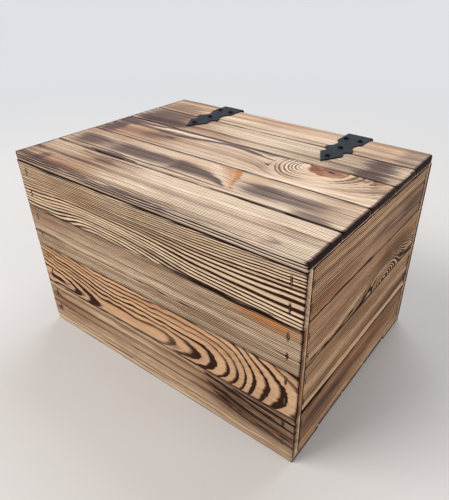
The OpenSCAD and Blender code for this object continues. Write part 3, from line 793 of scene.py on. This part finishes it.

# lid

# the lid boards' low tones, paler than the walls': partly the boards' own colour, partly painted light on the
# top
lidBoards = {
    1: dict(across=[(0, 2.3), (60, 2.2)], look=(0.55, 0.02, 0), tones=[(50, 22, 100, 44, 0.52),
        (372, 36, 40, 5, 0.4), (270, 20, 130, 0.9, -0.8), (160, 24, 90, 10, 0.2), (120, 47, 60, 5, 0.4),
        (200, 6, 220, 4, 0.2), (250, 46, 160, 4, -0.2), (60, 15, 90, 4, 0.3)],
        contrasts=[(300, 16, 110, 14, 0.4)], burns=[([(60, 50, 0.7), (110, 52, 1.4), (160, 53, 0.8)], 0.8),
        (38, 11, 9, 10, 0.55), (358, 12, 9, 8, 0.45), (376, 35, 34, 4, 0.4), (8, 32, 10, 22, 0.25),
        (90, 24, 80, 3, 0.2), (108, 44, 16, 5, 0.35), ([(50, 57.5, 1), (100, 57, 1.8), (150, 58, 1)], 0.5),
        (60, 30, 70, 3, 0.4), ([(0, 3.2, 0.7), (200, 3.2, 0.8), (400, 2.8, 0.6)], 0.75),
        ([(0, 6.2, 0.6), (150, 6.2, 0.7), (300, 5.6, 0.5)], 0.6), (140, 40, 60, 3, 0.35), (60, 5, 80, 4, 0.3),
        (14, 6, 14, 8, 0.3), (50, 20, 60, 26, 0.1)], skirt=[(0.6, 0.85, 1.5), (3.5, 0.7, 1.5),
        # the last skirt line, at the front edge's lower arris, is a charred arris plus painted shadow of the
        # gap over the wall
        (6.3, 0.65, 1.5), (9.3, 1.2, 2.2)], sides=34, edgeBurnAndShade=(0.75, 1.3), corners=(1.1, 0.9, 0.8, 0.8),
        rounded=((0, 2.5), (1, 1.7)), gap=0.3),
    2: dict(across=[(0, 2.3), (60, 2.3)], look=(0.48, 0.04, 0), tones=[(40, 28, 60, 44, 0.35),
        (120, 5, 130, 4, 0.35), (380, 30, 26, 30, 0.3), (110, 50, 130, 9, 0.3), (310, 50, 90, 9, 0.22)],
        burns=[(36, 25, 28, 15, 0.64), (128, 26, 64, 15.5, 0.7), (324, 26.5, 59, 14.5, 0.66),
        (20, 30, 30, 30, 0.15), ([(176, 26, 14.5), (206, 27, 13.5), (224, 25, 11), (244, 19, 6),
        (264, 12.5, 1.5)], 0.7), ([(62, 3, 1.5), (104, 4, 5), (140, 3, 1.5)], 0.7), (366, 5, 26, 7, 0.6),
        (290, 34, 30, 4, 0.15), (150, 33, 50, 5, 0.15)], cracks=[(145, 9.1, 126, 0.8, 1.4),
        (335, 1.8, 70, 0.9, 1.2)], gap=0.34, warms=[(205, 44, 60, 7, 0.2), (285, 48, 16, 8, 0.25),
        (250, 5, 60, 3, 0.2)], spike=[(219, 250, 57, 262, 266, 11)]),
    3: dict(down=61.5, across=[(-60, 30), (0, 26), (17, 24), (20, 4), (26, 3), (50, 2.7), (160, 2.7)],
        wave=(0.8, 50, 24), uneven=0.3, eyes=[(300, 50, 0.95, 1.8, 0.16, 39.5, 4.5, 6, 22.1)],
        crowding=[(0, 0), (215, 0), (240, 0.12), (257, 0.3), (264, 0.5), (270, 0.9), (280, 2), (290, 3),
        (298, 3.4), (310, 2.6), (320, 1.6), (335, 0.95), (349, 0.52), (362, 0.2), (372, 0), (380, -0.15),
        (390, -0.3), (400, -0.4), (410, -0.45)], hearts=[(324, 60, 23.5, 21, 1.95, 0.55, 0.35)],
        cracks=[(329, 54.6, 4, 1.8, 1.4)], look=(0.46, 0.1, -0.05), contrasts=[(280, 36, 26, 24, 0.6),
        (359, 46, 13, 20, 0.9), (386, 36, 22, 16, 1), (325, 30, 18, 15, -0.7), (300, 50, 10, 10, -0.7),
        (366, 8, 60, 13, -0.4), (310, 3, 46, 7, -0.5), (244, 12, 26, 14, -0.3), (248, 24, 22, 8, 0.5),
        (298, 18, 16, 12, 0.4), (255, 42, 17, 11, -0.6)], burns=[([(0, 54, 5), (45, 53, 4.4), (90, 57, 2),
        (150, 59, 1)], 0.8), ([(0, 46, 3.6), (40, 44, 3.4), (70, 44, 2.2), (100, 45.5, 1.8), (116, 53, 1)],
        0.85), ([(76, 38, 1.2), (106, 42.6, 3.6), (134, 45.7, 4.2), (162, 51.5, 3.4), (187, 55, 3),
        (219, 53, 3.6), (241, 49, 2.2), (258, 45, 0.8)], 0.85), (371, 57, 4, 9, 0.5),
        ([(374, 39, 0.8), (386, 45, 1.8), (396, 50, 1)], 0.5), (19, 24, 14, 22, 0.7), (14, 48, 20, 12, 0.4),
        (100, 30, 26, 16, 0.35), (50, 30, 60, 26, 0.15), (110.8, 30, 6, 4, 0.45), (200, 58.5, 90, 1.6, 0.5),
        (60, 20, 60, 12, 0.2)], tones=[([(50, 51, 1), (80, 51, 3), (104, 54, 3), (150, 55, 2.4),
        (176, 58, 1)], -1), (50, 22, 90, 44, 0.6), (325, 26, 34, 20, 0.3), (384, 30, 36, 50, 0.3),
        (180, 26, 120, 24, 0.28)], warms=[(352, 55, 10, 8, 0.35), (118, 54, 14, 3, 0.2),
        (388, 56, 12, 7, 0.4), (190, 22, 80, 26, -0.25)], fine=[(318, 64, 1.1)]),
    4: dict(across=[(0, 2.6), (60, 2.5)], look=(0.5, 0.06, 0), contrasts=[(330, 16, 80, 18, 0.45)],
        burns=[(48, 26, 46, 34, 0.72), (26, 20, 20, 16, 0.45), (70, 13, 40, 10, 0.5), (368, 28, 19, 42, 0.6),
        (340, 28, 36, 36, 0.25), (398, 28, 5, 30, -0.5),
        ([(110, 30, 0.7), (230, 31, 1), (350, 30, 0.7)], 0.4),
        ([(120, 22, 0.7), (250, 21, 0.9), (340, 23, 0.6)], 0.35)], tones=[(50, 28, 90, 40, 0.3),
        (130, 14, 60, 14, 0.3), (90, 40, 40, 14, 0.3), (330, 36, 60, 24, 0.25), (250, 6, 150, 5, 0.2)]),
    5: dict(across=[(0, 2.9), (60, 2.9)], look=(0.45, 0.16, -0.05), warms=[(200, 42, 230, 9, 0.15)],
        tones=[(30, 30, 70, 44, 0.4), (370, 34, 60, 40, 0.35), (160, 34, 80, 3, 0.4), (200, 44, 110, 8, 0.4),
        (200, 12, 160, 3, 0.25), (250, 24, 120, 3, 0.2)], burns=[(40, 22, 40, 14, 0.4), (56, 40, 60, 4, 0.4),
        (320, 36, 60, 1.2, 0.4), (388, 30, 20, 34, 0.45), (360, 12, 40, 3, 0.35), (30, 54, 40, 3, 0.3)],
        rounded=((0, 1.7), (1, 5))),
}

lidCommon = dict(
    edgeBurnAndShade=(1.3, 1.3), rounded=((0, 1.7), (1, 1.7)), bevel=1.2, capTone=(0.9, 0.9),
    capLines=1.6, capBurn=(0.85, 1.08), rimBurn=1.1, rimWide=2.4,
)
laySticks("lid_board", "top", lidBoards, 50, lidCommon, lidWood, "lid")

# bottom, posts and battens

slatCommon = dict(
    across=[(0, 2.8), (60, 2.6)], pitch=1.2, step=4, rawInside=0.5, relief=0.15,
    capBurn=(0.35, 0.35), burns=[(200, 0, 220, 4, 0.25)],
)
slatTones = (0.5, 0.4, 0.35, 0.45, 0.4)
slats = {n: dict(look=(0.45, tone, 0), sways=[(28, 60, [(0, 0), (400, 2 * n - 6)])])
         for n, tone in enumerate(slatTones, 1)}
laySticks("bottom_slat", "foot", slats, 60, slatCommon, wallWood)

plainCommon = dict(
    across=[(0, 2.4), (40, 2.8)], look=(0.45, 0.02, -0.1), pitch=1.2, step=5, inner=14,
    rawInside=0, edgeBurnAndShade=(0, 0), rimBurn=0, capBurn=(0, 0), capRim=0, relief=0.08,
    gap=0.05,
)
plainSticks = dict(post_front_left=71, post_front_right=72, post_back_left=73,
               post_back_right=74, lid_batten_left=75, lid_batten_right=76)
for node, seed in plainSticks.items():
    side, body = ("batten", "lid") if "batten" in node else ("post", "box")
    spec = dict(seed=seed, sways=[(15, 40, [(0, 0), (300, seed % 7 - 3)])])
    makeStick(node, side, {**plainCommon, **spec}, rawWood, body)
print("posts and battens laid")

# staples


def stapleGrid(leg, out):
    # rounded square wire carried along a U with bent corners, legs ending in a flat point:
    # rings of 8 points, each with its place along the crown, sideways and inwards
    w = staple["wire"] / 2
    half, r = staple["crown"] / 2 - w, staple["bend"]
    middle = w - out
    turn = np.radians([0, 30, 60, 90])
    c = np.concatenate([[half, half], half - r + r * np.cos(turn), [half / 2, 0]])
    d = np.concatenate([[leg - out, leg - out - 1.6], middle + r - r * np.sin(turn),
                        [middle + 0.05, middle + 0.1]])
    lean = np.concatenate([[0, 0], turn, [np.pi / 2, np.pi / 2]])
    thin = np.array([0.25, 1, 1, 1, 1, 1, 1, 1.0])
    # the other half mirrors the first
    c, d, lean, thin = (np.concatenate([k, sign * k[-2::-1] + add]) for k, sign, add in (
        (c, -1, 0), (d, 1, 0), (lean, -1, np.pi), (thin, 1, 0)))
    p = w * np.array([1, 1, 0.6, -0.6, -1, -1, -0.6, 0.6])
    q = w * np.array([-0.6, 0.6, 1, 1, 0.6, -0.6, -1, -1])
    bulge = p[None] * thin[:, None]
    return np.stack([c[:, None] + bulge * np.cos(lean)[:, None], q[None] + 0 * bulge,
                     d[:, None] - bulge * np.sin(lean)[:, None]], axis=-1)


def makeStaples(node, body, places, crown, inward, leg, out=staple["proud"]):
    # one wire grid repeated at every place
    grid = stapleGrid(leg, out)
    rows, around = grid.shape[:2]
    axes = mm * np.stack([crown, np.cross(inward, crown), inward])
    points = np.asarray(places)[:, None, None] + grid[None] @ axes
    starts = np.arange(len(places)) * rows * around
    quads = (starts[:, None, None] + gridQuads(rows, around)).reshape(-1, 4)
    caps = [cap for start in starts.tolist() for cap in gridCaps(rows, around, start)]
    piece = makeMesh(node + "_look", points.reshape(-1, 3), quads, caps)
    handOver(piece, node, body, wireSteel)


def makeSteel(name, colour, dull, rough, bumps, metal=0.0, shine=0.1):
    # blackened or bare steel: faint hammered dents, rubbed and dull patches
    g = Graph(bpy.data.materials.new(name))
    spot = g.point()
    worn, grit, dents = (g.noise(spot, scale, detail) for scale, detail in ((90, 3), (900, 3), (230, 1)))
    height = g.math("MULTIPLY_ADD", grit, 0.25, dents)
    return g.finish({"Base Color": g.mix(g.ease(worn, 0.35, 0.7), colour, dull), "Metallic": metal,
                     "Roughness": g.math("MULTIPLY_ADD", worn, 0.25, rough - 0.12),
                     "Normal": g.bump(height, bumps, 0.8), "Specular IOR Level": shine})


wireSteel = makeSteel("wireSteel", paint(120, 104, 84), paint(58, 42, 30), 0.4, 0.00005, 0.7, 0.5)
hingeSteel = makeSteel("hingeSteel", paint(24, 28, 33), paint(36, 41, 48), 0.5, 0.00022, 0.0, 0.06)
screwSteel = makeSteel("screwSteel", paint(6, 7, 8), paint(12, 13, 15), 0.4, 0.00006, 0.0, 0.03)


def plankHeights(wall, drop=0.0):
    heights = []
    for number in range(1, 5):
        low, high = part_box(f"{wall}_plank_{number}")
        heights += [low[2] + mm * (staple["low"] - drop), high[2] - mm * (staple["high"] + drop)]
    return heights


signs = (-1, 1)
wallLow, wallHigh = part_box("front_plank_1")
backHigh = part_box("back_plank_1")[1]
frontY, backY, rightX = float(wallLow[1]), float(backHigh[1]), float(wallHigh[0])
inset = mm * staple["endIn"]
for wall, face, inward in (("front", frontY, yWay), ("back", backY, -yWay)):
    places = [(sign * (rightX - inset), face, z) for sign in signs for z in plankHeights(wall)]
    makeStaples(f"{wall}_staples", "box", places, zWay, inward, staple["wallLeg"])
for wall, face, inward in (("right", rightX, -xWay), ("left", -rightX, xWay)):
    heights = plankHeights(wall, staple["endDrop"])
    places = [(face, sign * (backY - inset), z) for sign in signs for z in heights]
    makeStaples(f"{wall}_staples", "box", places, zWay, inward, staple["wallLeg"])
places = []
slatX, slatEdge = rightX - mm * staple["slatIn"], mm * staple["slatEdge"]
for number in range(1, 6):
    low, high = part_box(f"bottom_slat_{number}")
    places += [(sign * slatX, y, 0.0) for sign in signs for y in (low[1] + slatEdge, high[1] - slatEdge)]
makeStaples("bottom_staples", "box", places, yWay, zWay, staple["wallLeg"], 0.0)
places = []
battenLow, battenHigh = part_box("lid_batten_right")
battenX, off = float(battenLow[0] + battenHigh[0]) / 2, mm * staple["battenOff"]
for number in range(1, 6):
    low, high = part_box(f"lid_board_{number}")
    places += [(sign * battenX + step * off, (low[1] + high[1]) / 2, battenLow[2])
               for sign in signs for step in signs]
makeStaples("lid_staples", "lid", places, yWay, zWay, staple["lidLeg"])
print("staples driven")

# hinges

hinge = dict(x=103.0, axis=(148.85, 250.55), root=145.5, top=253.6, back=147.0, width=33.0,
         headR=3.8, headH=2.2, shankR=1.6, shankL=9.5, pinR=1.5, pinHeadR=2.6,
         pinHeadH=1.2, knuckleGap=0.3, edge=0.28)
strapScrews = [(-9.5, 17.0), (9.5, 17.0), (0.0, 51.0), (0.0, 84.0)]   # across, from the lid's back edge
leafScrews = [(-9.5, 233.3), (9.5, 233.3), (0.0, 219.3)]              # across, height
recess = dict(armHalf=0.5, reach=1.9, depth=1.15)
steelAngles = dict(flat=1, plateSharp=35, bevel=40, turnedSharp=48)


def steelPlate(node, body):
    # the CAD plate with its loose triangles merged, its flats joined and every edge rounded
    flat, sharp, bevelled = (math.radians(steelAngles[k]) for k in ("flat", "plateSharp", "bevel"))
    mesh = bpy.data.objects[node].data.copy()
    mesh.name = node + "_look"
    mesh.materials.clear()
    work = bmesh.new()
    work.from_mesh(mesh)
    bmesh.ops.remove_doubles(work, verts=work.verts, dist=2e-6)
    bmesh.ops.dissolve_limit(work, angle_limit=flat, verts=work.verts, edges=work.edges)
    work.to_mesh(mesh)
    work.free()
    mesh.polygons.foreach_set("use_smooth", np.ones(len(mesh.polygons), bool))
    mesh.set_sharp_from_angle(angle=sharp)
    piece = bpy.data.objects.new(node + "_look", mesh)
    scene.collection.objects.link(piece)
    bevel = piece.modifiers.new("edges", "BEVEL")
    bevel.width = mm * hinge["edge"]
    bevel.segments = 2
    bevel.limit_method = "ANGLE"
    bevel.angle_limit = bevelled
    handOver(piece, node, body, hingeSteel)


def turned(node, body, profile, places, axis, material, sunk=None, around=36):
    # profile of (radius, height) pairs turned about the axis at each place; the sunk function
    # lowers the surface; the first and last radius are 0 and close the shape
    one = np.cross(axis, (0.3, 0.5, 0.8))
    one = one / np.linalg.norm(one)
    profile = np.asarray(profile, float)
    turn = np.arange(around) * 2 * np.pi / around
    p = profile[1:-1, :1] * np.cos(turn)
    q = profile[1:-1, :1] * np.sin(turn)
    h = profile[1:-1, 1:] + 0 * p
    ends = np.array([[0, 0, profile[0, 1]], [0, 0, profile[-1, 1]]])
    if sunk:
        h = h - sunk(p, q)
        ends[0, 2] -= float(sunk(0.0, 0.0))
    rings = np.stack([p, q, h], axis=-1).reshape(-1, 3)
    local = mm * np.concatenate([rings, ends]) @ np.stack([one, np.cross(axis, one), axis])
    points = np.asarray(places)[:, None] + local
    rows = len(profile) - 2
    top, foot = rows * around, rows * around + 1
    last = top - around
    fans = [[top, n, (n + 1) % around] for n in range(around)]
    fans += [[foot, last + (n + 1) % around, last + n] for n in range(around)]
    starts = np.arange(len(places)) * (top + 2)
    quads = (starts[:, None, None] + gridQuads(rows, around)).reshape(-1, 4)
    caps = [[int(start) + n for n in fan] for start in starts for fan in fans]
    piece = makeMesh(node + "_look", points.reshape(-1, 3), quads, caps)
    piece.data.set_sharp_from_angle(angle=math.radians(steelAngles["turnedSharp"]))
    handOver(piece, node, body, material)


def crossRecess(p, q):
    # four-armed slot in a screw head, deepest in the middle and running out at the arms' ends
    away = np.hypot(p, q)
    arm = np.maximum(bell(p, recess["armHalf"], 6), bell(q, recess["armHalf"], 6))
    slope = np.clip(1.25 - away / recess["reach"], 0, 1) * np.clip((2.1 - away) / 0.3, 0, 1)
    return arm * recess["depth"] * slope


def screwProfile():
    # dome, a small rolled rim, flat underside, then a shank whose radius swings as a thread
    headR, headH, shankR, shankL = (hinge[k] for k in ("headR", "headH", "shankR", "shankL"))
    ball = (headR ** 2 + headH ** 2) / (2 * headH)
    radii = np.concatenate([[0], np.linspace(0.25, headR - 0.25, 15)])
    dome = [(a, headH - ball + math.sqrt(ball * ball - a * a)) for a in radii]
    rim = [(headR - 0.02, 0.24), (headR, 0.12), (headR - 0.12, 0.0), (shankR, 0.0)]
    swing = np.where(np.arange(15) % 2, shankR - 0.35, shankR)
    thread = list(zip(swing, -np.linspace(0.4, shankL - 1.8, 15)))
    return dome + rim + thread + [(0.5, -shankL + 0.4), (0.0, -shankL)]


def pinProfile():
    # straight pin with a domed, slightly spread head hammered at each end
    pinR, headR, headH = (hinge[k] for k in ("pinR", "pinHeadR", "pinHeadH"))
    half = hinge["width"] / 2 + hinge["knuckleGap"]
    head = [(0.0, headH), (0.9, headH - 0.08), (1.7, 0.86), (2.3, 0.5), (headR, 0.16),
            (headR - 0.15, 0.0), (pinR, 0.0)]
    head = [(r, half + z) for r, z in head]
    shank = [(pinR, z) for z in np.linspace(half - 1, 1 - half, 9)]
    return head + shank + [(r, -z) for r, z in head[::-1]]


for sign, side in ((-1, "left"), (1, "right")):
    x = mm * sign * hinge["x"]
    steelPlate(f"hinge_strap_{side}", "lid")
    steelPlate(f"hinge_leaf_{side}", "box")
    axisY, axisZ = hinge["axis"]
    turned(f"hinge_pin_{side}", "box", pinProfile(), [(x, mm * axisY, mm * axisZ)], xWay, hingeSteel)
    spots = [(x + mm * a, mm * (hinge["root"] - b), mm * hinge["top"]) for a, b in strapScrews]
    turned(f"strap_screws_{side}", "lid", screwProfile(), spots, zWay, screwSteel, crossRecess)
    spots = [(x + mm * a, mm * hinge["back"], mm * b) for a, b in leafScrews]
    turned(f"leaf_screws_{side}", "box", screwProfile(), spots, yWay, screwSteel, crossRecess)
print("hinges hung")

# floor

floorSpec = dict(half=9.0, colour=paint(203, 199, 196), fade=(0.45, 1.7), glow=room["wall"],
             spots=(3.0, 4, 0.05), spotColour=(0.3, 0.3, 0.3, 1))


def makeFloor(spec):
    # flat sheet z = 0, which glows evenly far from the box, so that it runs into the pale wall
    h = spec["half"]
    points = np.array([[-h, -h, 0], [h, -h, 0], [h, h, 0], [-h, h, 0]], float)
    floor = makeMesh("floor", points, np.array([[0, 1, 2, 3]]))
    g = Graph(bpy.data.materials.new("floorPaint"))
    place = g.point()
    scale, detail, amount = spec["spots"]
    spots = g.math("MULTIPLY", g.noise(place, scale, detail), amount)
    x, y, _ = g.parts(place)
    away = g.math("SQRT", g.math("ADD", g.math("MULTIPLY", x, x), g.math("MULTIPLY", y, y)))
    far = g.math("MULTIPLY", g.ease(away, *spec["fade"]), g.viewRays())
    colour = g.mix(far, g.mix(spots, spec["colour"], spec["spotColour"]), (0, 0, 0, 1))
    floor.data.materials.append(g.finish({
        "Base Color": colour, "Roughness": 1.0, "Specular IOR Level": 0.0,
        "Emission Color": spec["glow"], "Emission Strength": far}))


makeFloor(floorSpec)
